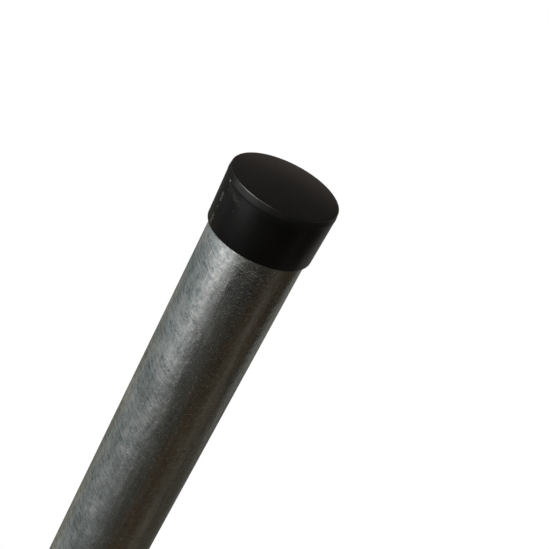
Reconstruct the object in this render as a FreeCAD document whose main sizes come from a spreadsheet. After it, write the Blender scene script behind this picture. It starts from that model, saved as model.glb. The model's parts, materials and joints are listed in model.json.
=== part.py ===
"""Round steel fence post with a moulded push-on cap, in millimetres.

The tube stands upright along +Z with the centre of its foot on the origin. The cap's disc lies on the tube's
top end, and its skirt reaches down over the tube and grips it through ribs inside.
"""
import FreeCAD
import Part
import Sketcher

import os

# Driving dimensions: name, value and what it measures.
SIZES = (
    ("tube_diameter", 48.0, "outside diameter of the tube"),
    ("tube_wall", 1.5, "wall of the tube"),
    ("tube_length", 1500.0, "length of the tube from its foot to its top end"),
    ("tube_edge_break", 0.3, "chamfer on the tube's sawn ends"),
    ("cap_fit", 0.05, "clearance between the tube and the cap's ribs"),
    ("cap_wall", 1.4, "wall of the cap's skirt"),
    ("cap_skirt_depth", 25.0, "reach of the skirt down the tube from its top end"),
    ("cap_skirt_flare", 0.62, "how much the skirt's radius grows from its mouth up to the lip"),
    ("cap_lip_step", 0.14, "how far the lip stands proud of the skirt"),
    ("cap_lip_fall", 1.2, "height of the lip's sloping underside"),
    ("cap_lip_height", 3.2, "height of the lip's band, up to the rim"),
    ("cap_lip_lean", 0.4, "how far the band leans inwards on its way up to the rim"),
    ("cap_disc_thickness", 2.8, "thickness of the cap's disc at its rim and in its centre"),
    ("cap_crown", 1.6, "rise of the disc's domed top from its rim to its centre"),
    ("cap_rim_radius", 0.5, "rounding of the rim"),
    ("cap_mouth_chamfer", 0.3, "chamfer on both edges of the skirt's mouth"),
    ("rib_rise", 0.35, "how far a rib stands in from the skirt at the mouth"),
    ("rib_width", 1.2, "width of a rib"),
    ("rib_count", 8, "number of ribs round the skirt"),
    ("rib_setback", 1.0, "height of the ribs' lower ends above the mouth"),
    ("rib_lead_in", 2.0, "height of the slope at a rib's lower end"),
)

# Radii and heights that follow from them. The cap's heights are measured up from its mouth.
TUBE_OUTER = "sizes.tube_diameter / 2"
TUBE_INNER = f"{TUBE_OUTER} - sizes.tube_wall"
EDGE_BREAK = "min(sizes.tube_edge_break; sizes.tube_wall / 4)"
RIB_CREST = f"{TUBE_OUTER} + sizes.cap_fit"
MOUTH_INNER = f"{RIB_CREST} + sizes.rib_rise"
MOUTH_OUTER = f"{MOUTH_INNER} + sizes.cap_wall"
SKIRT_INNER_TOP = f"{MOUTH_INNER} + sizes.cap_skirt_flare"
SKIRT_OUTER_TOP = f"{MOUTH_OUTER} + sizes.cap_skirt_flare"
LIP_EDGE = f"{SKIRT_OUTER_TOP} + sizes.cap_lip_step"
RIM_EDGE = f"{LIP_EDGE} - sizes.cap_lip_lean"
SEAT_HEIGHT = "sizes.cap_skirt_depth"
RIM_HEIGHT = f"{SEAT_HEIGHT} + sizes.cap_disc_thickness"
CROWN_HEIGHT = f"{RIM_HEIGHT} + sizes.cap_crown"
# The disc is flat where it lies on the tube's end. Inside the tube its underside is domed like its top.
SEAT_INNER = f"{TUBE_INNER} - sizes.tube_wall"
UNDERSIDE_HEIGHT = f"{CROWN_HEIGHT} - sizes.cap_disc_thickness"
LIP_HEIGHT = f"{RIM_HEIGHT} - sizes.cap_lip_height"
SKIRT_HEIGHT = f"{LIP_HEIGHT} - sizes.cap_lip_fall"
RIM_ROUNDING = "sizes.cap_rim_radius"
MOUTH_CHAMFER = "min(sizes.cap_mouth_chamfer; sizes.cap_wall / 4)"
RIB_FOOT_HEIGHT = "sizes.rib_setback"
RIB_CREST_HEIGHT = f"{RIB_FOOT_HEIGHT} + sizes.rib_lead_in"
# A rib's root lies in the middle of the skirt's wall.
RIB_ROOT_FOOT = f"{MOUTH_INNER} + sizes.cap_wall / 2"
RIB_ROOT_TOP = f"{SKIRT_INNER_TOP} + sizes.cap_wall / 2"

RING_TOLERANCE = 1e-4

# A sketch numbers the points of a line or an arc in this order, and counts its own axes down from zero.
POINT_NAMES = ("whole", "start", "end", "centre")
ORIGIN_POINT = (-1, 1)
VERTICAL_AXIS = ORIGIN_POINT[0] - 1


def make_sheet(doc):
    """Writes the driving dimensions into a spreadsheet."""
    sheet = doc.addObject("Spreadsheet::Sheet", "sizes")
    for row, (alias, value, meaning) in enumerate(SIZES, start=1):
        sheet.set(f"A{row}", meaning)
        sheet.set(f"B{row}", str(value))
        sheet.setAlias(f"B{row}", alias)
    doc.recompute()
    return sheet


def make_body(doc, name):
    """An empty body whose label names its piece."""
    body = doc.addObject("PartDesign::Body", name)
    body.Label = name
    return body


def origin_feature(body, role):
    """One of the body's own origin planes or axes."""
    for feature in body.Origin.OriginFeatures:
        if feature.Role == role:
            return feature
    raise RuntimeError(f"{body.Label} has no origin feature {role}")


def make_sketch(body, name, role):
    """An empty sketch on one of the body's origin planes."""
    sketch = body.newObject("Sketcher::SketchObject", name)
    sketch.AttachmentSupport = [(origin_feature(body, role), "")]
    sketch.MapMode = "FlatFace"
    return sketch


def point(geometry, name):
    """A named point of a piece of a sketch's geometry, as constraints take it."""
    return geometry, POINT_NAMES.index(name)


def dimension(sketch, name, expression, kind, *where):
    """Adds a named dimension to a sketch and binds it to an expression."""
    value = sketch.evalExpression(expression)
    index = sketch.addConstraint(Sketcher.Constraint(kind, *where, value))
    sketch.renameConstraint(index, name)
    sketch.setExpression(f"Constraints.{name}", expression)


def add_outline(sketch, corners, arcs=()):
    """Draws a closed outline through corners given as (name, radius, height).

    A corner whose radius is None lies on the axis. A stretch whose first corner is named in arcs is an arc
    that domes up to the axis, about a centre on the axis, and every other stretch is a straight line.
    """
    places = []
    for _, radius, height in corners:
        across = 0.0 if radius is None else sketch.evalExpression(radius)
        places.append(FreeCAD.Vector(across, sketch.evalExpression(height), 0))
    stretches = []
    for (name, _, _), place, following in zip(corners, places, places[1:] + places[:1]):
        if name in arcs:
            stretches.append(sketch.addGeometry(arc_about_axis(place, following)))
        else:
            stretches.append(sketch.addGeometry(Part.LineSegment(place, following)))
    # An arc always runs anticlockwise, here from its edge up to the axis, so one whose stretch starts on the
    # axis is taken the other way round.
    firsts = []
    lasts = []
    for stretch, (name, radius, _) in zip(stretches, corners):
        ends = ("end", "start") if name in arcs and radius is None else ("start", "end")
        firsts.append(point(stretch, ends[0]))
        lasts.append(point(stretch, ends[1]))
    for last, first in zip(lasts, firsts[1:] + firsts[:1]):
        sketch.addConstraint(Sketcher.Constraint("Coincident", *last, *first))
    for stretch, corner, (name, radius, height) in zip(stretches, firsts, corners):
        if radius is None:
            sketch.addConstraint(Sketcher.Constraint("PointOnObject", *corner, VERTICAL_AXIS))
        else:
            dimension(sketch, f"{name}_radius", radius, "DistanceX", *ORIGIN_POINT, *corner)
        dimension(sketch, f"{name}_height", height, "DistanceY", *ORIGIN_POINT, *corner)
        if name in arcs:
            centre = point(stretch, "centre")
            sketch.addConstraint(Sketcher.Constraint("PointOnObject", *centre, VERTICAL_AXIS))


def arc_about_axis(*ends):
    """The arc between an edge and a higher point on the axis, about a centre on the axis."""
    top, edge = sorted(ends, key=lambda end: end.x)
    rise = top.y - edge.y
    radius = (edge.x**2 + rise**2) / (2 * rise)
    centre = FreeCAD.Vector(0, top.y - radius, 0)
    circle = Part.Circle(centre, FreeCAD.Vector(0, 0, 1), radius)
    return Part.ArcOfCircle(circle, circle.parameter(edge), circle.parameter(top))


def ring_names(feature, rings):
    """Names of a feature's circular edges at the given (radius, height) pairs."""
    names = []
    for radius, height in rings:
        want_radius = feature.evalExpression(radius)
        want_height = feature.evalExpression(height)
        for number, edge in enumerate(feature.Shape.Edges, start=1):
            # The crown's tip is an edge of no length.
            if edge.Degenerated or not isinstance(edge.Curve, Part.Circle):
                continue
            ring = edge.Curve
            off = max(abs(ring.Radius - want_radius), abs(ring.Center.z - want_height))
            if off < RING_TOLERANCE:
                names.append(f"Edge{number}")
                break
        else:
            raise RuntimeError(f"{feature.Label} has no edge at radius {want_radius}, height {want_height}")
    return names


def dress_rings(body, kind, name, base, rings, size_property, expression):
    """Adds a chamfer or a fillet to a feature's circular edges."""
    body.Document.recompute()
    dressed = body.newObject(kind, name)
    dressed.Base = (base, ring_names(base, rings))
    dressed.setExpression(size_property, expression)
    return dressed


def make_tube(doc):
    """The tube: a ring drawn at its foot and drawn out to its length, with its sawn ends deburred."""
    body = make_body(doc, "post_tube")
    sketch = make_sketch(body, "tube_section", "XY_Plane")
    for name, radius in (("outer_radius", TUBE_OUTER), ("inner_radius", TUBE_INNER)):
        start_radius = sketch.evalExpression(radius)
        ring = sketch.addGeometry(Part.Circle(FreeCAD.Vector(), FreeCAD.Vector(0, 0, 1), start_radius))
        centre = point(ring, "centre")
        sketch.addConstraint(Sketcher.Constraint("Coincident", *centre, *ORIGIN_POINT))
        dimension(sketch, name, radius, "Radius", ring)
    run = body.newObject("PartDesign::Pad", "tube_run")
    run.Profile = sketch
    run.setExpression("Length", "sizes.tube_length")
    ends = [(radius, height) for radius in (TUBE_OUTER, TUBE_INNER) for height in ("0", "sizes.tube_length")]
    dress_rings(body, "PartDesign::Chamfer", "deburred_ends", run, ends, "Size", EDGE_BREAK)
    return body


def make_cap(doc):
    """The cap: a revolved shell with a domed disc, a lip and a tapered skirt, and ribs inside the skirt."""
    body = make_body(doc, "post_cap")
    body.setExpression("Placement.Base.z", "sizes.tube_length - sizes.cap_skirt_depth")

    outline = make_sketch(body, "shell_outline", "XZ_Plane")
    corners = (
        ("crown", None, CROWN_HEIGHT),
        ("rim", RIM_EDGE, RIM_HEIGHT),
        ("lip", LIP_EDGE, LIP_HEIGHT),
        ("skirt", SKIRT_OUTER_TOP, SKIRT_HEIGHT),
        ("mouth_outside", MOUTH_OUTER, "0"),
        ("mouth_inside", MOUTH_INNER, "0"),
        ("seat_corner", SKIRT_INNER_TOP, SEAT_HEIGHT),
        ("seat_inside", SEAT_INNER, SEAT_HEIGHT),
        ("underside", None, UNDERSIDE_HEIGHT),
    )
    add_outline(outline, corners, arcs=("crown", "seat_inside"))
    shell = body.newObject("PartDesign::Revolution", "shell")
    shell.Profile = outline
    shell.ReferenceAxis = (outline, ["V_Axis"])
    rim_rings = [(RIM_EDGE, RIM_HEIGHT)]
    rim = dress_rings(body, "PartDesign::Fillet", "rounded_rim", shell, rim_rings, "Radius", RIM_ROUNDING)
    mouth_rings = [(MOUTH_OUTER, "0"), (MOUTH_INNER, "0")]
    dress_rings(body, "PartDesign::Chamfer", "mouth_edges", rim, mouth_rings, "Size", MOUTH_CHAMFER)

    rib_outline = make_sketch(body, "rib_outline", "XZ_Plane")
    rib_corners = (
        ("crest_top", RIB_CREST, SEAT_HEIGHT),
        ("crest_foot", RIB_CREST, RIB_CREST_HEIGHT),
        ("root_foot", RIB_ROOT_FOOT, RIB_FOOT_HEIGHT),
        ("root_top", RIB_ROOT_TOP, SEAT_HEIGHT),
    )
    add_outline(rib_outline, rib_corners)
    rib = body.newObject("PartDesign::Pad", "grip_rib")
    rib.Profile = rib_outline
    rib.SideType = "Symmetric"
    rib.setExpression("Length", "sizes.rib_width")
    doc.recompute()
    ribs = body.newObject("PartDesign::PolarPattern", "grip_ribs")
    ribs.Originals = [rib]
    ribs.Axis = (origin_feature(body, "Z_Axis"), [""])
    ribs.Angle = 360
    ribs.setExpression("Occurrences", "sizes.rib_count")
    body.Tip = ribs
    return body


def check(doc, pieces):
    """Stops the build if any object failed or a piece isn't one sound solid."""
    for item in doc.Objects:
        if "Invalid" in item.State or "Error" in item.State:
            raise RuntimeError(f"{item.Label} failed: {item.State}")
    for piece in pieces:
        shape = piece.Shape
        if shape.isNull() or not shape.isValid() or len(shape.Solids) != 1:
            raise RuntimeError(f"{piece.Label} isn't one valid solid")


def main():
    doc = FreeCAD.newDocument("fence_post")
    make_sheet(doc)
    pieces = [make_tube(doc), make_cap(doc)]
    doc.recompute()
    check(doc, pieces)
    os.makedirs("parts", exist_ok=True)
    for piece in pieces:
        piece.Shape.exportStep(f"parts/{piece.Label}.step")
        box = piece.Shape.BoundBox
        print(f"{piece.Label}: {piece.Shape.Volume:.1f} mm3, z {box.ZMin:.2f} to {box.ZMax:.2f}")


main()
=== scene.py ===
"""A galvanised steel fence post with a black push-on cap, dressed and set on a plain stage.

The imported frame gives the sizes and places. Lengths are in metres and angles in radians, unless a comment
says otherwise. Bearings go round the post from the camera's side, positive towards +X.
"""
import json
import math
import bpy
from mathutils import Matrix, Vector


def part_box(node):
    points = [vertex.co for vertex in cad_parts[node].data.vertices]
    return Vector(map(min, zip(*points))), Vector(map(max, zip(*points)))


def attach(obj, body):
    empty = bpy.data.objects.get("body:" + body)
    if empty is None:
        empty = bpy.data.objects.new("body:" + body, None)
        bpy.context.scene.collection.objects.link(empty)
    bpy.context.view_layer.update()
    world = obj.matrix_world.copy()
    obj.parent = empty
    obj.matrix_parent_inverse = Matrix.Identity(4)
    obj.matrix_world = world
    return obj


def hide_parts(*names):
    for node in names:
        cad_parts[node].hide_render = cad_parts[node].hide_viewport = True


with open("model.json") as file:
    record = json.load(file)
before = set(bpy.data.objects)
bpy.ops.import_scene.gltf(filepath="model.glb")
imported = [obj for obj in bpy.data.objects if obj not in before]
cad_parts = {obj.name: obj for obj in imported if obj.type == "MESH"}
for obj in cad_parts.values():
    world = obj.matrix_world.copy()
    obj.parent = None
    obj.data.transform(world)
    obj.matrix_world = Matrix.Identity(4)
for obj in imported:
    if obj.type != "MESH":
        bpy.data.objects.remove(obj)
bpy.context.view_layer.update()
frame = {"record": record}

from types import SimpleNamespace

import bmesh
import bpy
from bpy.props import FloatProperty, FloatVectorProperty, IntProperty, PointerProperty
from bpy.types import Operator, Panel, PropertyGroup
from mathutils import Matrix, Vector

bl_info = {
    "name": "Fence Post",
    "version": (1, 0, 0),
    "blender": (4, 5, 0),
    "location": "3D View > Sidebar > Fence Post",
    "description": "Builds a galvanised fence post, its cap and a stage to show them on",
    "category": "Object",
}

MM = 0.001
TUBE_LOW, TUBE_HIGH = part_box("post_tube")
CAP_LOW, CAP_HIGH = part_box("post_cap")
MOUNTS = {mount["name"]: mount for mount in frame["record"]["mounts"]}
BORE_RADIUS = MOUNTS["foot_bore"]["dims"]["r_mm"] * MM
BODY = "root"

# Points nearer than a weld's distance become one, and a point within the tolerance lies on a ring.
WELD_DISTANCE = 1e-7
RIB_WELD_DISTANCE = 1e-6
RING_TOLERANCE = 2e-6

# Steps of the round stretches in the meshes.
EDGE_STEPS = 3
RIM_STEPS = 6
CROWN_STEPS = 20
UNDERSIDE_STEPS = 12
FLOOR_STEPS = 128
BACKDROP_STEPS = 96
BACKDROP_ROWS = 48


def length(name, default, description):
    """A length that a user may change."""
    return FloatProperty(
        name=name, description=description, default=default, min=0.0, unit="LENGTH", precision=5
    )


def angle(name, degrees, description):
    """An angle that a user may change, written here in degrees."""
    return FloatProperty(name=name, description=description, default=math.radians(degrees), subtype="ANGLE")


def wattage(name, default, description):
    """A lamp's power that a user may change."""
    return FloatProperty(name=name, description=description, default=default, min=0.0, unit="POWER")


def count(name, default, least, description):
    """A number of things that a user may change."""
    return IntProperty(name=name, description=description, default=default, min=least)


def colour(name, default, description):
    """A colour that a user may change."""
    return FloatVectorProperty(
        name=name, description=description, default=default, min=0.0, max=1.0, size=3, subtype="COLOR"
    )


class TubeSettings(PropertyGroup):
    """Sizes and colours of the steel tube."""

    radius: length("Radius", TUBE_HIGH.x, "Outside radius of the tube")
    bore: length("Bore Radius", BORE_RADIUS, "Inside radius of the tube")
    foot: length("Foot", TUBE_LOW.z, "Height of the tube's foot end")
    top: length("Top", TUBE_HIGH.z, "Height of the tube's top end")
    edge_break: length("Edge Break", 0.3 * MM, "Rounding of the sawn ends' edges")
    segments: count("Segments", 192, 24, "Flats round the tube")
    rows: count("Rows", 30, 1, "Stretches along the tube")
    zinc: colour("Zinc", (0.59, 0.605, 0.59), "Colour of the zinc coat")
    zinc_shade: colour("Zinc Shade", (0.28, 0.325, 0.325), "Colour of the coat's cooler, duller clouds")
    zinc_hatch: colour("Zinc Hatch", (0.15, 0.185, 0.20), "Colour of the dark strokes on the weathered side")
    tarnish: colour("Tarnish", (0.46, 0.44, 0.33), "Colour of the faint olive tarnish")
    pit: colour("Pits", (0.10, 0.10, 0.10), "Colour of the small pits")
    salt: colour("Salt", (0.86, 0.86, 0.82), "Colour of the pale specks of zinc bloom")
    fleck: colour("Flecks", (0.46, 0.40, 0.25), "Colour of the few flecks of dried dirt")


class CapSettings(PropertyGroup):
    """Sizes and colours of the moulded cap."""

    mouth: length("Mouth", CAP_LOW.z, "Height of the skirt's mouth")
    seat: length("Seat", TUBE_HIGH.z, "Height of the disc's underside, on the tube's top end")
    crown: length("Crown", CAP_HIGH.z, "Height of the middle of the domed top")
    lip_radius: length("Lip Radius", CAP_HIGH.x, "Radius of the lip's edge, the cap's widest place")
    wall: length("Wall", 1.4 * MM, "Wall of the skirt")
    flare: length("Flare", 0.62 * MM, "How much the skirt's radius grows from the mouth up to the lip")
    lip_step: length("Lip Step", 0.14 * MM, "How far the lip stands proud of the skirt")
    lip_fall: length("Lip Fall", 1.2 * MM, "Height of the lip's sloping underside")
    lip_height: length("Lip Height", 3.2 * MM, "Height of the lip's band, up to the rim")
    lip_lean: length("Lip Lean", 0.4 * MM, "How far the band leans inwards on its way up")
    crown_rise: length("Crown Rise", 1.6 * MM, "Rise of the domed top from its rim to its middle")
    rim_rounding: length("Rim Rounding", 0.5 * MM, "Rounding of the rim")
    crease_rounding: length("Crease Rounding", 0.25 * MM, "Rounding of the lip's edge and its lower crease")
    mouth_rounding: length("Mouth Rounding", 0.3 * MM, "Rounding of the mouth's edges")
    rib_clearance: length("Rib Clearance", 0.05 * MM, "Gap between the ribs' crests and the tube")
    rib_width: length("Rib Width", 1.2 * MM, "Width of a grip rib")
    rib_setback: length("Rib Setback", 1.0 * MM, "Height of the ribs' lower ends above the mouth")
    rib_lead_in: length("Rib Lead-in", 2.0 * MM, "Height of the slope at a rib's lower end")
    rib_count: count("Ribs", 8, 3, "Grip ribs inside the skirt")
    plastic: colour("Plastic", (0.0066, 0.0060, 0.0056), "Colour of the black plastic")
    scuff: colour("Scuffs", (0.080, 0.077, 0.071), "Colour of scraped and dusty places")
    # The glint is painted: a small bright spot on the lip that stands in for a highlight.
    glint: colour("Glint", (0.55, 0.54, 0.52), "Colour of the small nick in the lip")


class StageSettings(PropertyGroup):
    """Floor, light and camera."""

    floor: colour("Floor", (0.90, 0.90, 0.90), "Colour of the floor")
    floor_radius: length("Floor Radius", 0.55, "Radius of the round floor")
    backdrop_radius: length("Backdrop Radius", 4.0, "Radius of the dome that the post reflects")
    ambient: FloatProperty(name="Ambient", description="Even light from all round", default=0.25, min=0.0)
    lamp_size: length("Lamp Size", 1.2, "Side of each lamp")
    lamp_distance: length("Lamp Distance", 3.5, "Distance of each lamp from the cap")
    key_power: wattage("Key", 95.0, "Power of the key lamp")
    key_bearing: angle("Key Bearing", -74.0, "Bearing of the key lamp")
    key_height: angle("Key Elevation", 46.0, "Elevation of the key lamp above the cap")
    fill_power: wattage("Fill", 70.0, "Power of the fill lamp")
    fill_bearing: angle("Fill Bearing", 128.0, "Bearing of the fill lamp, on the side away from the key")
    fill_height: angle("Fill Elevation", 6.0, "Elevation of the fill lamp above the cap")
    camera_reach: length("Camera Reach", 0.45995, "How far the camera stands in front of the post's axis")
    camera_rise: length("Camera Rise", 0.2058, "How far the camera stands above the cap's rim")
    camera_turn: angle("Camera Turn", -1.736, "How far the camera is turned away from the post's axis")
    camera_dip: angle("Camera Dip", 28.30, "How far the camera looks down")
    camera_roll: angle("Camera Roll", 28.12, "How far the camera is rolled about its line of sight")
    camera_lens: FloatProperty(
        name="Lens", description="Focal length", default=74.88, min=1.0, unit="CAMERA"
    )


# Width of the camera's sensor, in millimetres.
SENSOR_WIDTH = 36.0
WHITE = (1.0, 1.0, 1.0, 1.0)

# Patterns of soft strokes: how many go to a metre along x, y and z, and how much fine detail they have. The
# last two values hold for all of them: how rough that detail is, and the range that is drawn out to 0 to 1.
CLOUDS = ((400.0, 400.0, 300.0), 4.0)
BROAD_CLOUDS = ((75.0, 75.0, 45.0), 3.0)
CROSS_STROKES = ((250.0, 250.0, 1050.0), 2.0)
LONG_SCORES = ((130.0, 130.0, 1900.0), 1.0)
DOWNWARD_STREAKS = ((400.0, 400.0, 36.0), 4.0)
GRIT = ((1100.0, 1100.0, 1100.0), 2.0)
TEARS = ((1900.0, 1900.0, 1500.0), 2.0)
SATIN_CLOUDS = ((110.0, 110.0, 110.0), 4.0)
MOULDED_GRAIN = ((2600.0, 2600.0, 2600.0), 2.0)
STROKE_ROUGHNESS = 0.6
STROKE_CONTRAST = (0.28, 0.72)

# How far the strokes and scores on the tube lean from square across it, and the level line they lean about.
STROKE_LEAN = math.radians(-22.0)
STROKE_AXIS = (0.5, math.sqrt(0.75), 0.0)

# Scatters of specks: how many go to a metre, how large they are beside the space that each one has, and the
# share of the spaces that hold one. For the salt that share changes with the height. The core is the share
# of a speck's radius over which it shows in full.
FLECKS = (240.0, 0.24, 0.08)
PITS = (330.0, 0.34, 0.10)
DUST = (420.0, 0.22, 0.10)
SALT = (1150.0, 0.53)
SPECK_CORE = 0.5

# Zones of the tube, as depths below its top end from and to, and what changes over each: the share of salt
# specks, and how strongly the strokes show.
SALT_ZONE = (180 * MM, 115 * MM)
SALT_SHARES = (0.03, 0.40)
CALM_ZONE = (110 * MM, 50 * MM)
CALM_SHARES = (1.0, 0.6)

# The side of the tube that the weather has spared: its bearings from and to, the width of its soft edges,
# and how far those edges wander.
SHELTERED_SIDE = (math.radians(-6.0), math.radians(122.0), math.radians(44.0))
SHELTER_WANDER = 0.5

# How the zinc's patterns are read: a pattern's range, and what it becomes over it if that isn't 0 to 1.
WEATHER_IN_CLOUDS = (0.1, 0.7, 0.5, 1.0)
SHELTER_IN_WEATHER = (0.0, 0.3, 1.0, 0.0)
WEAR_IN_WEATHER = (0.0, 0.6, 0.4, 1.0)
DULL_SHADES = (0.25, 0.75)
TARNISHED_CLOUDS = (0.75, 0.4, 0.0, 0.4)
DARK_STROKES = (0.40, 0.2)
HATCHED_CLOUDS = (0.25, 0.55, 0.4, 1.0)
SHARP_SCORES = (0.80, 0.95)
SCORED_CLOUDS = (0.40, 0.65)

# What each pattern adds to the coat's shade and to its lights, and how much of the salt the weather takes.
CLOUD_SHADE = 0.55
BROAD_SHADE = 0.45
PLAIN_LIGHT = 0.49
STREAK_LIGHT = 0.36
GRIT_LIGHT = 0.25
SHELTERED_STROKE_LIGHT = 0.22
WEATHERED_STROKE_LIGHT = 0.62
STROKE_MIDDLE = 0.5
SALT_LOSS = 0.6

# Finish of the zinc: its roughness, what of that is lost at a glancing view, and the metal lost to weather.
ZINC_ROUGHNESS = 0.255
GLANCING_LOSS = 0.12
WEATHER_LOSS = 0.40

# Finish of the plastic: the roughness of the skirt and of the lip, the heights above the mouth between which
# one turns into the other, the strength of its shine, the depth of its moulded grain and how its dust shows.
SKIRT_ROUGHNESS = 0.19
LIP_ROUGHNESS = 0.27
LIP_ZONE = (21.5 * MM, 23.5 * MM)
PLASTIC_SHINE = 0.28
MOULDED_DEPTH = 0.004 * MM
DUST_STRENGTH = 0.6

# Marks on the cap: bearings from and to in degrees, heights above the mouth from and to in millimetres, and
# how much of the place is marked. Scuffs are scraped or dusty places, and the glint is a small bright
# painted highlight on the lip.
SCUFFS = (
    (-62.0, -57.8, 13.0, 17.4, 0.9),
    (-61.6, -58.4, 9.0, 11.0, 0.55),
    (-62.0, -58.2, 0.8, 6.6, 0.8),
    (-57.0, -52.0, 20.5, 23.6, 0.48),
    (-52.0, -43.0, 20.4, 23.2, 0.36),
    (-45.0, -36.0, 19.6, 22.6, 0.48),
    (-37.0, -31.0, 19.2, 21.4, 0.52),
    (-36.4, -35.2, 15.1, 15.8, 0.8),
)
# The painted glint: a small bright spot on the lip that stands in for a highlight.
GLINTS = ((-58.2, -56.2, 24.15, 24.6, 1.8),)

# A mark's soft sides as a share of its width, the most that its ends are softened, in millimetres, and how
# its torn pattern is set against the share that is marked.
MARK_SIDE_FADE = 0.4
MARK_END_FADE = 0.8
TEAR_STRENGTH = 1.4
TEAR_LEVEL = 1.2
TEAR_FADE = 0.5

# The floor's fade to white, from and to as shares of its radius, how white its middle is, and the share of
# its radius from which it thins out in reflections.
FLOOR_FADE = (0.3, 0.9)
FLOOR_MIDDLE_WHITENESS = 0.5
FLOOR_THINNING = 0.2

# What the post reflects is painted on a wide backdrop dome that only reflections see. Each patch lies over
# those before it: name, bearings from and to, elevations from and to, widths of its soft edges sideways and
# upright, all in degrees, and its light.
ROOM_LIGHT = (0.05, 0.05, 0.05)
PATCHES = (
    ("side_right", 34, 138, -6, 42, 12, 5, (0.36, 0.36, 0.35)),
    ("side_right_low", 40, 138, -19, -6, 12, 4, (0.06, 0.056, 0.052)),
    ("side_left", -138, -96, -6, 42, 12, 5, (0.36, 0.36, 0.35)),
    ("ceiling_left", 180, 250, 22, 95, 16, 16, (0.100, 0.088, 0.081)),
    ("ceiling_right", 110, 180, 22, 95, 16, 16, (0.044, 0.039, 0.036)),
    ("left_back", -190, -110, -95, -6, 16, 8, (0.094, 0.098, 0.089)),
    ("left_back_low", -190, -101, -95, -33, 16, 8, (0.115, 0.104, 0.068)),
    ("left_wall", -110, -60, -95, -6, 16, 8, (0.18, 0.198, 0.198)),
    ("left_wall_middle", -108, -60, -31, -19, 16, 5, (0.235, 0.255, 0.255)),
    ("left_wall_top", -94, -60, -18, 34, 8, 4, (1.5, 1.5, 1.49)),
    ("left_wall_low", -110, -26, -95, -35, 16, 8, (0.078, 0.086, 0.084)),
    ("front", -30, -8, -95, 12, 16, 8, (0.10, 0.10, 0.097)),
    ("window_left", -68, -48, -31, 30, 20, 14, (1.30, 1.255, 1.25)),
    ("window", -52, -30, -34, 30, 24, 14, (1.14, 1.10, 1.095)),
    ("window_shade", -35, -24, -31, -24, 28, 7, (0.02, 0.02, 0.02)),
    ("window_foot", -36, -20, -38, -35, 14, 3, (0.40, 0.39, 0.385)),
    ("window_top", -64, -30, -18, 34, 12, 4, (1.58, 1.58, 1.56)),
    ("front_top", -32, -6, -17, 30, 8, 4, (0.67, 0.67, 0.645)),
    ("front_top_right", -6, 30, -17, 30, 8, 4, (0.30, 0.285, 0.27)),
    ("right_front", -10, 50, -95, -22, 16, 8, (0.046, 0.044, 0.040)),
    ("right_front_middle", -14, 30, -38, -31, 14, 5, (0.105, 0.102, 0.094)),
    ("front_middle", -16, 6, -38, -31, 14, 5, (0.138, 0.135, 0.126)),
    ("right_front_top", -15, 50, -31, -18.5, 20, 4, (0.003, 0.003, 0.003)),
    ("right_brown", 46, 104, -36, -19, 12, 6, (0.041, 0.024, 0.011)),
    ("right_brown_low", 22, 68, -95, -36, 12, 8, (0.061, 0.043, 0.027)),
    ("right_olive", 104, 121, -36, -19, 8, 6, (0.036, 0.028, 0.016)),
    ("right_olive_low", 68, 142, -95, -36, 10, 8, (0.074, 0.067, 0.056)),
    ("right_streak", 69, 86, -95, -20, 14, 6, (0.110, 0.096, 0.078)),
    ("right_back", 129, 182, -36, 2, 5, 6, (0.185, 0.180, 0.168)),
    ("right_edge", 119, 140, -39, -31.5, 10, 3, (0.195, 0.190, 0.177)),
    ("right_back_low", 144, 182, -95, -36, 5, 6, (0.125, 0.118, 0.107)),
    ("ground", -190, 190, -95, -62, 10, 12, (0.42, 0.42, 0.41)),
    ("horizon", 140, 215, 0, 15, 5, 3, (0.325, 0.272, 0.23)),
    ("skylight", -100, -40, 36, 66, 12, 8, (8.0, 8.0, 8.0)),
    ("skylight_right", -40, -8, 38, 66, 12, 8, (4.0, 4.0, 4.0)),
)


def feed(tree, socket, value):
    """Sets an input to a value, or links it to the socket that feeds it."""
    if isinstance(value, bpy.types.NodeSocket):
        tree.links.new(value, socket)
    else:
        socket.default_value = value


def add_node(tree, kind, inputs=None, **settings):
    """Adds a node. An input is given by name or number, as a value or as the socket that feeds it."""
    node = tree.nodes.new(kind)
    for name, value in settings.items():
        setattr(node, name, value)
    for name, value in (inputs or {}).items():
        feed(tree, node.inputs[name], value)
    return node


def maths(tree, operation, *values):
    """The result of a Math node."""
    return add_node(tree, "ShaderNodeMath", dict(enumerate(values)), operation=operation).outputs[0]


def vector_maths(tree, operation, *values):
    """A Vector Math node."""
    return add_node(tree, "ShaderNodeVectorMath", dict(enumerate(values)), operation=operation)


def axis_parts(tree, vector):
    """The x, y and z of a vector."""
    return add_node(tree, "ShaderNodeSeparateXYZ", {0: vector}).outputs


def spread(tree, value, low, high, to_low=0.0, to_high=1.0):
    """A value moved from one range to another, and held inside it."""
    inputs = {"Value": value, "From Min": low, "From Max": high, "To Min": to_low, "To Max": to_high}
    return add_node(tree, "ShaderNodeMapRange", inputs, clamp=True).outputs["Result"]


def inside_band(tree, value, low, high, soft):
    """One where a value lies between two limits, falling to nought over soft edges."""
    off = maths(tree, "ABSOLUTE", maths(tree, "SUBTRACT", value, (low + high) / 2))
    half = (high - low) / 2
    return spread(tree, off, half - soft / 2, half + soft / 2, 1.0, 0.0)


def mixed(tree, share, first, second):
    """One colour mixed into another by a share."""
    node = add_node(tree, "ShaderNodeMix", data_type="RGBA", clamp_factor=True)
    for name, value in (("Factor_Float", share), ("A_Color", first), ("B_Color", second)):
        feed(tree, next(socket for socket in node.inputs if socket.identifier == name), value)
    return next(socket for socket in node.outputs if socket.identifier == "Result_Color")


def blended(tree, share, first, second):
    """One shader node mixed into another by a share."""
    inputs = {0: share, 1: first.outputs[0], 2: second.outputs[0]}
    return add_node(tree, "ShaderNodeMixShader", inputs)


def rgba(value):
    """A settings colour as a shader takes it."""
    return (*value, 1.0)


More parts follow.
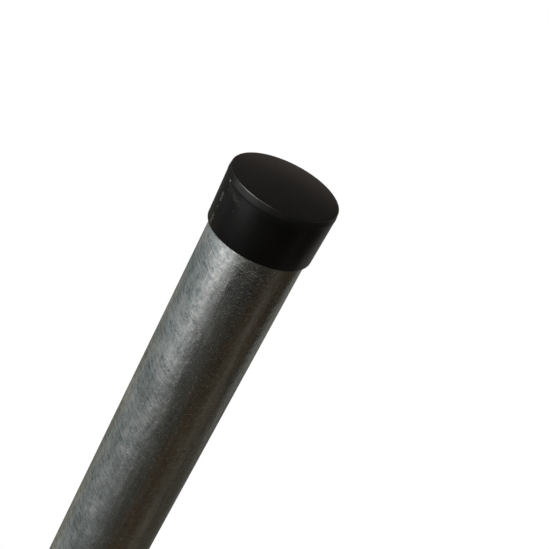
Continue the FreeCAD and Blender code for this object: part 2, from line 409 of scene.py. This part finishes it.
def new_group(name, inputs, output):
    """An empty shader node group with named inputs and one output."""
    group = bpy.data.node_groups.new(name, "ShaderNodeTree")
    for label, kind in inputs:
        group.interface.new_socket(name=label, in_out="INPUT", socket_type=kind)
    group.interface.new_socket(name=output, in_out="OUTPUT", socket_type="NodeSocketFloat")
    return group, group.nodes.new("NodeGroupInput"), group.nodes.new("NodeGroupOutput")


def strokes_group():
    """Short soft strokes, drawn out along one direction by the stretch of their grain."""
    name = "surface_strokes"
    if name in bpy.data.node_groups:
        return bpy.data.node_groups[name]
    inputs = (("Vector", "NodeSocketVector"), ("Grain", "NodeSocketVector"), ("Detail", "NodeSocketFloat"))
    group, given, result = new_group(name, inputs, "Tone")
    stretched = vector_maths(group, "MULTIPLY", given.outputs["Vector"], given.outputs["Grain"])
    noise_inputs = {
        "Vector": stretched.outputs[0],
        "Scale": 1.0,
        "Detail": given.outputs["Detail"],
        "Roughness": STROKE_ROUGHNESS,
    }
    noise = add_node(group, "ShaderNodeTexNoise", noise_inputs)
    tone = spread(group, noise.outputs[0], *STROKE_CONTRAST)
    group.links.new(tone, result.inputs["Tone"])
    return group


def specks_group():
    """Small round specks, in a share of the cells of an uneven scatter."""
    name = "surface_specks"
    if name in bpy.data.node_groups:
        return bpy.data.node_groups[name]
    inputs = (
        ("Vector", "NodeSocketVector"),
        ("Density", "NodeSocketFloat"),
        ("Size", "NodeSocketFloat"),
        ("Share", "NodeSocketFloat"),
    )
    group, given, result = new_group(name, inputs, "Mask")
    cell_inputs = {"Vector": given.outputs["Vector"], "Scale": given.outputs["Density"]}
    cells = add_node(group, "ShaderNodeTexVoronoi", cell_inputs)
    draws = add_node(group, "ShaderNodeSeparateColor", {0: cells.outputs["Color"]})
    chosen = maths(group, "LESS_THAN", draws.outputs[0], given.outputs["Share"])
    reach = maths(group, "MULTIPLY", given.outputs["Size"], draws.outputs[1])
    core = maths(group, "MULTIPLY", reach, SPECK_CORE)
    dot = spread(group, cells.outputs["Distance"], core, reach, 1.0, 0.0)
    group.links.new(maths(group, "MULTIPLY", dot, chosen), result.inputs["Mask"])
    return group


def stroke_tone(tree, vector, pattern):
    """A pattern of soft strokes, placed in a material."""
    grain, detail = pattern
    inputs = {"Vector": vector, "Grain": grain, "Detail": detail}
    return add_node(tree, "ShaderNodeGroup", inputs, node_tree=strokes_group()).outputs[0]


def speck_mask(tree, vector, density, size, share):
    """A scatter of specks, placed in a material."""
    inputs = {"Vector": vector, "Density": density, "Size": size, "Share": share}
    return add_node(tree, "ShaderNodeGroup", inputs, node_tree=specks_group()).outputs[0]


def bare_material(name):
    """A material with an empty tree, the tree and Object coordinates."""
    material = bpy.data.materials.new(name)
    material.use_nodes = True
    tree = material.node_tree
    tree.nodes.clear()
    coords = add_node(tree, "ShaderNodeTexCoord").outputs["Object"]
    return material, tree, coords


def show_surface(tree, shader):
    """Makes a shader node what the material shows."""
    add_node(tree, "ShaderNodeOutputMaterial", {"Surface": shader.outputs[0]})


def principled_material(name):
    """A material with a Principled shader, its tree, its shader and Object coordinates."""
    material, tree, coords = bare_material(name)
    shader = add_node(tree, "ShaderNodeBsdfPrincipled")
    show_surface(tree, shader)
    return material, tree, shader, coords


def bumped(tree, height, depth, normal=None):
    """A Bump node whose height's full range is depth."""
    inputs = {"Height": height, "Distance": depth, "Strength": 1.0}
    if normal is not None:
        inputs["Normal"] = normal
    return add_node(tree, "ShaderNodeBump", inputs).outputs[0]


def bearing_of(tree, x, y):
    """The bearing of a place round the post, from its coordinates."""
    return maths(tree, "ARCTAN2", x, maths(tree, "MULTIPLY", y, -1.0))


def weather_mask(tree, coords, clouds, broad):
    """How far the weather has dulled the tube: all round it but for one sheltered side with ragged edges."""
    x, y, _ = axis_parts(tree, coords)
    ragged = maths(tree, "MULTIPLY_ADD", broad, SHELTER_WANDER, bearing_of(tree, x, y))
    exposed = maths(tree, "SUBTRACT", 1.0, inside_band(tree, ragged, *SHELTERED_SIDE))
    return maths(tree, "MULTIPLY", exposed, spread(tree, clouds, *WEATHER_IN_CLOUDS))


def zinc_tones(tree, coords, tube):
    """The patterns that the zinc's colour, gloss and relief share."""
    lean = {"Vector": coords, "Axis": STROKE_AXIS, "Angle": STROKE_LEAN}
    slanted = add_node(tree, "ShaderNodeVectorRotate", lean, rotation_type="AXIS_ANGLE").outputs[0]
    height = axis_parts(tree, coords)["Z"]

    def towards_top(zone, values):
        return spread(tree, height, tube.top - zone[0], tube.top - zone[1], *values)

    clouds = stroke_tone(tree, coords, CLOUDS)
    broad = stroke_tone(tree, coords, BROAD_CLOUDS)
    weather = weather_mask(tree, coords, clouds, broad)
    specked = speck_mask(tree, coords, *SALT, towards_top(SALT_ZONE, SALT_SHARES))
    return SimpleNamespace(
        clouds=clouds,
        broad=broad,
        across=stroke_tone(tree, slanted, CROSS_STROKES),
        scores=stroke_tone(tree, slanted, LONG_SCORES),
        along=stroke_tone(tree, coords, DOWNWARD_STREAKS),
        grit=stroke_tone(tree, coords, GRIT),
        flecks=speck_mask(tree, coords, *FLECKS),
        pits=speck_mask(tree, coords, *PITS),
        salt=maths(tree, "MULTIPLY", specked, maths(tree, "MULTIPLY_ADD", weather, -SALT_LOSS, 1.0)),
        weather=weather,
        sheltered=spread(tree, weather, *SHELTER_IN_WEATHER),
        calm=towards_top(CALM_ZONE, CALM_SHARES),
    )


def zinc_coat(tree, tube, tones):
    """The coat's own colour: clean zinc, dulled in clouds by the weather, with tarnish in its shelter."""
    broad_shade = maths(tree, "MULTIPLY", tones.broad, BROAD_SHADE)
    shade = maths(tree, "MULTIPLY_ADD", tones.clouds, CLOUD_SHADE, broad_shade)
    worn = spread(tree, tones.weather, *WEAR_IN_WEATHER)
    dulling = maths(tree, "MULTIPLY", spread(tree, shade, *DULL_SHADES), worn)
    dulled = mixed(tree, dulling, rgba(tube.zinc), rgba(tube.zinc_shade))
    olive = maths(tree, "MULTIPLY", spread(tree, tones.broad, *TARNISHED_CLOUDS), tones.sheltered)
    return mixed(tree, olive, dulled, rgba(tube.tarnish))


def zinc_lights(tree, tones):
    """Light and dark in the coat: strokes across the tube, streaks down it and grit."""
    contrast = maths(tree, "SUBTRACT", tones.across, STROKE_MIDDLE)
    calmed = maths(tree, "MULTIPLY_ADD", contrast, tones.calm, STROKE_MIDDLE)
    strength = maths(tree, "MULTIPLY_ADD", tones.weather, WEATHERED_STROKE_LIGHT, SHELTERED_STROKE_LIGHT)
    streaks = maths(tree, "MULTIPLY_ADD", tones.along, STREAK_LIGHT, PLAIN_LIGHT)
    stroked = maths(tree, "MULTIPLY_ADD", calmed, strength, streaks)
    return maths(tree, "MULTIPLY_ADD", tones.grit, GRIT_LIGHT, stroked)


def zinc_colour(tree, tube, tones):
    """The zinc's colour: its coat, with dark strokes, pits, scratches and specks laid over it in turn."""
    coat = zinc_coat(tree, tube, tones)
    painted = vector_maths(tree, "MULTIPLY", coat, zinc_lights(tree, tones)).outputs[0]
    dark = maths(tree, "MULTIPLY", spread(tree, tones.across, *DARK_STROKES), tones.weather)
    hatching = maths(tree, "MULTIPLY", dark, spread(tree, tones.broad, *HATCHED_CLOUDS))
    sharp = spread(tree, tones.scores, *SHARP_SCORES)
    scratches = maths(tree, "MULTIPLY", sharp, spread(tree, tones.broad, *SCORED_CLOUDS))
    layers = (
        (hatching, 0.7, tube.zinc_hatch),
        (tones.pits, 0.7, tube.pit),
        (scratches, 0.5, tube.salt),
        (tones.salt, 0.15, tube.salt),
        (tones.flecks, tones.weather, tube.fleck),
    )
    for mask, strength, paint in layers:
        painted = mixed(tree, maths(tree, "MULTIPLY", mask, strength), painted, rgba(paint))
    return painted


def zinc_roughness(tree, tones):
    """The zinc's roughness: smoother at a glancing view and on strokes, duller in clouds and on specks."""
    facing = add_node(tree, "ShaderNodeLayerWeight").outputs["Facing"]
    rough = maths(tree, "MULTIPLY_ADD", facing, -GLANCING_LOSS, ZINC_ROUGHNESS)
    for tone, change in ((tones.across, -0.06), (tones.clouds, 0.08), (tones.salt, 0.1)):
        rough = maths(tree, "MULTIPLY_ADD", tone, change, rough)
    return rough


def zinc_relief(tree, tones):
    """The zinc's relief, with the depth of each pattern in millimetres."""
    patchy = maths(tree, "MULTIPLY", tones.clouds, maths(tree, "MULTIPLY", tones.sheltered, tones.calm))
    depths = (
        (tones.broad, 0.2),
        (patchy, 0.12),
        (tones.along, 0.026),
        (tones.across, 0.011),
        (tones.grit, 0.016),
        (tones.salt, 0.029),
        (tones.pits, -0.06),
    )
    normal = None
    for tone, depth in depths:
        normal = bumped(tree, tone, depth * MM, normal)
    return normal


def zinc_material(tube):
    """Weathered zinc: soft clouds, strokes across the tube, streaks down it, grit, pits and pale specks."""
    material, tree, shader, coords = principled_material("galvanised_zinc")
    tones = zinc_tones(tree, coords, tube)
    metal = maths(tree, "MULTIPLY_ADD", tones.weather, -WEATHER_LOSS, 1.0)
    tree.links.new(zinc_colour(tree, tube, tones), shader.inputs["Base Color"])
    tree.links.new(zinc_roughness(tree, tones), shader.inputs["Roughness"])
    tree.links.new(metal, shader.inputs["Metallic"])
    tree.links.new(zinc_relief(tree, tones), shader.inputs["Normal"])
    return material


def scuff_and_glint_mask(tree, coords, cap, marks):
    """Where the cap bears scrapes and wear, and where a glint is painted on it."""
    x, y, z = axis_parts(tree, coords)
    bearing = bearing_of(tree, x, y)
    height = maths(tree, "SUBTRACT", z, cap.mouth)
    torn = maths(tree, "MULTIPLY", stroke_tone(tree, coords, TEARS), TEAR_STRENGTH)
    total = 0.0
    for start, end, foot, head, share in marks:
        first, last = math.radians(start), math.radians(end)
        end_fade = min(MARK_END_FADE, head - foot)
        sideways = inside_band(tree, bearing, first, last, (last - first) * MARK_SIDE_FADE)
        upright = inside_band(tree, height, foot * MM, head * MM, end_fade * MM)
        place = maths(tree, "MULTIPLY", sideways, upright)
        left = spread(tree, maths(tree, "ADD", torn, share - TEAR_LEVEL), 0.0, TEAR_FADE)
        total = maths(tree, "MAXIMUM", maths(tree, "MULTIPLY", place, left), total)
    return total


def plastic_material(cap):
    """Satin black plastic: a fine moulded grain, faint clouds, dusty specks, a few scrapes and a painted
    glint on the lip.
    """
    material, tree, shader, coords = principled_material("black_plastic")
    dust = maths(tree, "MULTIPLY", speck_mask(tree, coords, *DUST), DUST_STRENGTH)
    scuffs = maths(tree, "MAXIMUM", dust, scuff_and_glint_mask(tree, coords, cap, SCUFFS))
    scuffed = mixed(tree, scuffs, rgba(cap.plastic), rgba(cap.scuff))
    # A small bright spot is painted on the lip as a highlight.
    glinted = mixed(tree, scuff_and_glint_mask(tree, coords, cap, GLINTS), scuffed, rgba(cap.glint))
    tree.links.new(glinted, shader.inputs["Base Color"])

    height = maths(tree, "SUBTRACT", axis_parts(tree, coords)["Z"], cap.mouth)
    rough = spread(tree, height, *LIP_ZONE, SKIRT_ROUGHNESS, LIP_ROUGHNESS)
    for tone, change in ((stroke_tone(tree, coords, SATIN_CLOUDS), 0.08), (scuffs, 0.4)):
        rough = maths(tree, "MULTIPLY_ADD", tone, change, rough)
    tree.links.new(rough, shader.inputs["Roughness"])
    grain = bumped(tree, stroke_tone(tree, coords, MOULDED_GRAIN), MOULDED_DEPTH)
    tree.links.new(grain, shader.inputs["Normal"])
    shader.inputs["Specular IOR Level"].default_value = PLASTIC_SHINE
    return material


def ring_edges(bm, radius, height):
    """The edges of a ring round the axis."""
    def lies_on(vert):
        off = (abs(vert.co.xy.length - radius), abs(vert.co.z - height))
        return max(off) < RING_TOLERANCE

    found = [edge for edge in bm.edges if all(lies_on(vert) for vert in edge.verts)]
    if not found:
        raise RuntimeError(f"there is no ring at radius {radius:.5f}, height {height:.5f}")
    return found


def round_ring(bm, radius, height, width, segments=EDGE_STEPS):
    """Rounds a ring's corner over a width on each side of it."""
    bmesh.ops.bevel(
        bm,
        geom=ring_edges(bm, radius, height),
        offset=width,
        offset_type="OFFSET",
        affect="EDGES",
        segments=segments,
        profile=0.5,
        material=-1,
        clamp_overlap=True,
    )


def chain(bm, start, places):
    """Draws edges from a vertex through (radius, height) places in turn, and gives the last vertex."""
    for radius, height in places:
        vert = bm.verts.new((radius, 0.0, height))
        bm.edges.new((start, vert))
        start = vert
    return start


def dome_arc(bm, radius, height, rise, steps):
    """Draws the arc of a dome from its top on the axis to its edge, and gives the edge's vertex."""
    ball = (radius**2 + rise**2) / (2 * rise)
    turned = bmesh.ops.spin(
        bm,
        geom=[bm.verts.new((0.0, 0.0, height))],
        cent=(0.0, 0.0, height - ball),
        axis=(0.0, 1.0, 0.0),
        dvec=(0.0, 0.0, 0.0),
        angle=math.asin(radius / ball),
        steps=steps,
    )
    return next(item for item in turned["geom_last"] if isinstance(item, bmesh.types.BMVert))


def revolve(bm, segments):
    """Turns the drawn section into a solid of revolution with closed seam and poles."""
    bmesh.ops.spin(
        bm,
        geom=bm.verts[:] + bm.edges[:],
        cent=(0.0, 0.0, 0.0),
        axis=(0.0, 0.0, 1.0),
        dvec=(0.0, 0.0, 0.0),
        angle=math.tau,
        steps=segments,
        use_merge=True,
    )
    bmesh.ops.remove_doubles(bm, verts=bm.verts[:], dist=WELD_DISTANCE)
    bmesh.ops.dissolve_degenerate(bm, edges=bm.edges[:], dist=WELD_DISTANCE)
    bmesh.ops.recalc_face_normals(bm, faces=bm.faces[:])


def new_object(bm, name, material):
    """Puts a bmesh into the scene as a smooth object at the origin."""
    mesh = bpy.data.meshes.new(name)
    for face in bm.faces:
        face.smooth = True
    bm.to_mesh(mesh)
    bm.free()
    mesh.materials.append(material)
    made = bpy.data.objects.new(name, mesh)
    bpy.context.scene.collection.objects.link(made)
    return made


def dress(piece, node):
    """Lets a piece stand for a node of the frame."""
    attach(piece, BODY)
    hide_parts(node)


def tube_mesh(tube):
    """The tube: its wall's section turned round the axis, with the sawn ends' edges rounded."""
    bm = bmesh.new()
    start = bm.verts.new((tube.radius, 0.0, tube.foot))
    end = chain(bm, start, ((tube.radius, tube.top), (tube.bore, tube.top), (tube.bore, tube.foot)))
    bm.edges.new((end, start))
    walls = [edge for edge in bm.edges if edge.verts[0].co.x == edge.verts[1].co.x]
    bmesh.ops.subdivide_edges(bm, edges=walls, cuts=tube.rows - 1)
    revolve(bm, tube.segments)
    for radius in (tube.radius, tube.bore):
        for height in (tube.foot, tube.top):
            round_ring(bm, radius, height, tube.edge_break)
    return bm


def cap_mesh(cap, tube):
    """The cap: a domed disc, a lip and a tapered skirt turned round the axis, with ribs inside the skirt."""
    rim_height = cap.crown - cap.crown_rise
    lip_height = rim_height - cap.lip_height
    skirt_height = lip_height - cap.lip_fall
    rim_radius = cap.lip_radius - cap.lip_lean
    skirt_radius = cap.lip_radius - cap.lip_step
    mouth_radius = skirt_radius - cap.flare
    inside_draft = cap.flare / (cap.seat - cap.mouth)
    tube_wall = tube.radius - tube.bore
    underside_radius = tube.bore - tube_wall
    rib_crest = tube.radius + cap.rib_clearance
    rib_foot = cap.mouth + cap.rib_setback
    rib_shoulder = rib_foot + cap.rib_lead_in

    def inside(height):
        return mouth_radius - cap.wall + inside_draft * (height - cap.mouth)

    bm = bmesh.new()
    rim = dome_arc(bm, rim_radius, cap.crown, cap.crown_rise, CROWN_STEPS)
    outline = [(cap.lip_radius, lip_height), (skirt_radius, skirt_height), (mouth_radius, cap.mouth)]
    outline += [(inside(height), height) for height in (cap.mouth, rib_foot, rib_shoulder, cap.seat)]
    outline += [(rib_crest, cap.seat)]
    seat_edge = chain(bm, rim, outline)
    hollow_top = cap.seat + cap.crown_rise
    underside = dome_arc(bm, underside_radius, hollow_top, cap.crown_rise, UNDERSIDE_STEPS)
    bm.edges.new((seat_edge, underside))

    flats_per_rib = round(math.tau * inside(rib_foot) / (cap.rib_count * cap.rib_width))
    segments = cap.rib_count * flats_per_rib
    half_flat = math.pi / segments
    bmesh.ops.rotate(bm, verts=bm.verts[:], cent=(0, 0, 0), matrix=Matrix.Rotation(-half_flat, 3, "Z"))
    revolve(bm, segments)
    raise_ribs(bm, cap, rib_foot, rib_crest, half_flat)
    round_ring(bm, rim_radius, rim_height, cap.rim_rounding, RIM_STEPS)
    round_ring(bm, cap.lip_radius, lip_height, cap.crease_rounding)
    round_ring(bm, skirt_radius, skirt_height, cap.crease_rounding)
    for radius in (mouth_radius, inside(cap.mouth)):
        round_ring(bm, radius, cap.mouth, cap.mouth_rounding)
    return bm


def raise_ribs(bm, cap, rib_foot, rib_crest, half_flat):
    """Raises the grip ribs from single flats of the skirt's inside, up to the disc's underside."""
    pitch = math.tau / cap.rib_count

    def in_line(place):
        off = (math.atan2(place.y, place.x) + pitch / 2) % pitch - pitch / 2
        return abs(off) < half_flat / 2

    def under_rib(face):
        middle = face.calc_center_median()
        inwards = face.normal.xy.dot(middle.xy) < 0
        return inwards and rib_foot < middle.z < cap.seat - RING_TOLERANCE and in_line(middle)

    def over_rib(face):
        middle = face.calc_center_median()
        at_seat = abs(middle.z - cap.seat) < RING_TOLERANCE
        return at_seat and middle.xy.length > rib_crest and in_line(middle)

    bases = [face for face in bm.faces if under_rib(face)]
    raised = bmesh.ops.extrude_face_region(bm, geom=bases)
    for vert in raised["geom"]:
        if isinstance(vert, bmesh.types.BMVert) and vert.co.z > rib_foot + RING_TOLERANCE:
            vert.co.xy *= rib_crest / vert.co.xy.length
    bmesh.ops.delete(bm, geom=bases, context="FACES_ONLY")
    bmesh.ops.remove_doubles(bm, verts=bm.verts[:], dist=RIB_WELD_DISTANCE)
    bmesh.ops.dissolve_degenerate(bm, edges=bm.edges[:], dist=WELD_DISTANCE)
    bmesh.ops.delete(bm, geom=[face for face in bm.faces if over_rib(face)], context="FACES_ONLY")
    bmesh.ops.delete(bm, geom=[edge for edge in bm.edges if not edge.link_faces], context="EDGES")
    bmesh.ops.recalc_face_normals(bm, faces=bm.faces[:])


def white_rays(tree):
    """One for the rays that see the white background: camera, glossy and transmission rays."""
    path = add_node(tree, "ShaderNodeLightPath")
    shiny = maths(tree, "MAXIMUM", path.outputs["Is Glossy Ray"], path.outputs["Is Transmission Ray"])
    return maths(tree, "MAXIMUM", path.outputs["Is Camera Ray"], shiny)


def floor_material(stage):
    """A pale floor that takes the post's shadow, whitens towards its edge and thins out in reflections."""
    material, tree, coords = bare_material("pale_floor")
    reach = vector_maths(tree, "LENGTH", coords).outputs["Value"]
    start, end = (share * stage.floor_radius for share in FLOOR_FADE)
    fade = spread(tree, reach, start, end, FLOOR_MIDDLE_WHITENESS, 1.0)
    painted = add_node(tree, "ShaderNodeBsdfDiffuse", {"Color": rgba(stage.floor)})
    white = add_node(tree, "ShaderNodeEmission", {"Color": WHITE, "Strength": 1.0})
    pale = blended(tree, maths(tree, "MULTIPLY", fade, white_rays(tree)), painted, white)
    mirrored = add_node(tree, "ShaderNodeLightPath").outputs["Is Glossy Ray"]
    thinning = spread(tree, reach, FLOOR_THINNING * stage.floor_radius, stage.floor_radius)
    clear = add_node(tree, "ShaderNodeBsdfTransparent")
    show_surface(tree, blended(tree, maths(tree, "MULTIPLY", thinning, mirrored), pale, clear))
    return material


def backdrop_material(centre):
    """The patches of light that the post reflects, laid over each other by bearing and elevation."""
    material, tree, coords = bare_material("backdrop")
    arm = vector_maths(tree, "SUBTRACT", coords, centre).outputs[0]
    x, y, z = axis_parts(tree, vector_maths(tree, "NORMALIZE", arm).outputs[0])
    bearing = bearing_of(tree, x, y)
    elevation = maths(tree, "ARCSINE", z)
    light = rgba(ROOM_LIGHT)
    for name, *limits, patch_light in PATCHES:
        first, last, foot, head, side_edge, end_edge = (math.radians(limit) for limit in limits)
        middle = (first + last) / 2
        turn = maths(tree, "WRAP", maths(tree, "SUBTRACT", bearing, middle), math.pi, -math.pi)
        sideways = inside_band(tree, turn, first - middle, last - middle, side_edge)
        upright = inside_band(tree, elevation, foot, head, end_edge)
        light = mixed(tree, maths(tree, "MULTIPLY", sideways, upright), light, rgba(patch_light))
        light.node.label = name
    show_surface(tree, add_node(tree, "ShaderNodeEmission", {"Color": light, "Strength": 1.0}))
    return material


def add_backdrop(stage, centre):
    """A wide dome round the post and the camera that only reflections see."""
    bm = bmesh.new()
    bmesh.ops.create_uvsphere(
        bm,
        u_segments=BACKDROP_STEPS,
        v_segments=BACKDROP_ROWS,
        radius=stage.backdrop_radius,
        matrix=Matrix.Translation(centre),
    )
    dome = new_object(bm, "backdrop", backdrop_material(centre))
    dome.visible_camera = False
    dome.visible_diffuse = False
    dome.visible_shadow = False
    dome.visible_transmission = False


def add_floor(stage):
    """A round floor under the post."""
    bm = bmesh.new()
    bmesh.ops.create_circle(bm, cap_ends=True, radius=stage.floor_radius, segments=FLOOR_STEPS)
    new_object(bm, "floor", floor_material(stage))


def set_world(stage):
    """White to the camera and to reflections, and an even soft light for everything else."""
    world = bpy.data.worlds.new("white_room")
    bpy.context.scene.world = world
    world.use_nodes = True
    tree = world.node_tree
    tree.nodes.clear()
    soft = add_node(tree, "ShaderNodeBackground", {"Color": WHITE, "Strength": stage.ambient})
    white = add_node(tree, "ShaderNodeBackground", {"Color": WHITE, "Strength": 1.0})
    blend = blended(tree, white_rays(tree), soft, white)
    add_node(tree, "ShaderNodeOutputWorld", {"Surface": blend.outputs[0]})


def add_lamp(stage, name, power, bearing, elevation, target):
    """A soft square lamp that shines on the cap's end of the post."""
    light = bpy.data.lights.new(name, "AREA")
    light.shape = "SQUARE"
    light.size = stage.lamp_size
    light.energy = power
    lamp = bpy.data.objects.new(name, light)
    reach = stage.lamp_distance * math.cos(elevation)
    rise = stage.lamp_distance * math.sin(elevation)
    lamp.location = (reach * math.sin(bearing), -reach * math.cos(bearing), target.z + rise)
    lamp.rotation_euler = (target - lamp.location).to_track_quat("-Z", "Y").to_euler()
    bpy.context.scene.collection.objects.link(lamp)
    return lamp


def add_camera(stage, rim_height):
    """The camera, in front of the post and above its cap."""
    lens = bpy.data.cameras.new("camera")
    lens.lens = stage.camera_lens
    lens.sensor_width = SENSOR_WIDTH
    camera = bpy.data.objects.new("camera", lens)
    turn = Matrix.Rotation(stage.camera_turn, 4, "Z")
    dip = Matrix.Rotation(math.pi / 2 - stage.camera_dip, 4, "X")
    roll = Matrix.Rotation(stage.camera_roll, 4, "Z")
    place = Matrix.Translation((0.0, -stage.camera_reach, rim_height + stage.camera_rise))
    camera.matrix_world = place @ turn @ dip @ roll
    bpy.context.scene.collection.objects.link(camera)
    bpy.context.scene.camera = camera


class FENCE_POST_OT_build_tube(Operator):
    """Build the galvanised steel tube"""

    bl_idname = "fence_post.build_tube"
    bl_label = "Build Tube"

    def execute(self, context):
        tube = context.scene.fence_post_tube
        piece = new_object(tube_mesh(tube), "steel_tube", zinc_material(tube))
        dress(piece, "post_tube")
        return {"FINISHED"}


class FENCE_POST_OT_build_cap(Operator):
    """Build the moulded cap"""

    bl_idname = "fence_post.build_cap"
    bl_label = "Build Cap"

    def execute(self, context):
        cap = context.scene.fence_post_cap
        tube = context.scene.fence_post_tube
        piece = new_object(cap_mesh(cap, tube), "moulded_cap", plastic_material(cap))
        dress(piece, "post_cap")
        return {"FINISHED"}


class FENCE_POST_OT_set_stage(Operator):
    """Set up the floor, the backdrop, the lamps and the camera"""

    bl_idname = "fence_post.set_stage"
    bl_label = "Set Stage"

    def execute(self, context):
        stage = context.scene.fence_post_stage
        cap = context.scene.fence_post_cap
        context.scene.view_settings.view_transform = "Standard"
        set_world(stage)
        add_floor(stage)
        middle = Vector((0.0, 0.0, cap.seat))
        add_backdrop(stage, middle)
        add_lamp(stage, "key_lamp", stage.key_power, stage.key_bearing, stage.key_height, middle)
        fill = add_lamp(stage, "fill_lamp", stage.fill_power, stage.fill_bearing, stage.fill_height, middle)
        fill.visible_glossy = False
        add_camera(stage, cap.crown - cap.crown_rise)
        return {"FINISHED"}


class FENCE_POST_PT_sidebar(Panel):
    """Sizes, colours and steps of the fence post"""

    bl_idname = "FENCE_POST_PT_sidebar"
    bl_label = "Fence Post"
    bl_space_type = "VIEW_3D"
    bl_region_type = "UI"
    bl_category = "Fence Post"

    def draw(self, context):
        steps = (
            ("fence_post_tube", FENCE_POST_OT_build_tube),
            ("fence_post_cap", FENCE_POST_OT_build_cap),
            ("fence_post_stage", FENCE_POST_OT_set_stage),
        )
        for settings_name, step in steps:
            settings = getattr(context.scene, settings_name)
            box = self.layout.box()
            box.operator(step.bl_idname)
            for name in settings.__annotations__:
                box.prop(settings, name)


SETTINGS = {
    "fence_post_tube": TubeSettings,
    "fence_post_cap": CapSettings,
    "fence_post_stage": StageSettings,
}
CLASSES = (
    *SETTINGS.values(),
    FENCE_POST_OT_build_tube,
    FENCE_POST_OT_build_cap,
    FENCE_POST_OT_set_stage,
    FENCE_POST_PT_sidebar,
)


def register():
    """Registers the classes and gives the scene its settings."""
    for made in CLASSES:
        bpy.utils.register_class(made)
    for name, settings in SETTINGS.items():
        setattr(bpy.types.Scene, name, PointerProperty(type=settings))


def unregister():
    """Takes the settings and the classes away again."""
    for name in SETTINGS:
        delattr(bpy.types.Scene, name)
    for made in reversed(CLASSES):
        bpy.utils.unregister_class(made)


def main():
    """Builds the post and its stage."""
    register()
    bpy.ops.fence_post.build_tube()
    bpy.ops.fence_post.build_cap()
    bpy.ops.fence_post.set_stage()


if __name__ == "__main__":
    main()
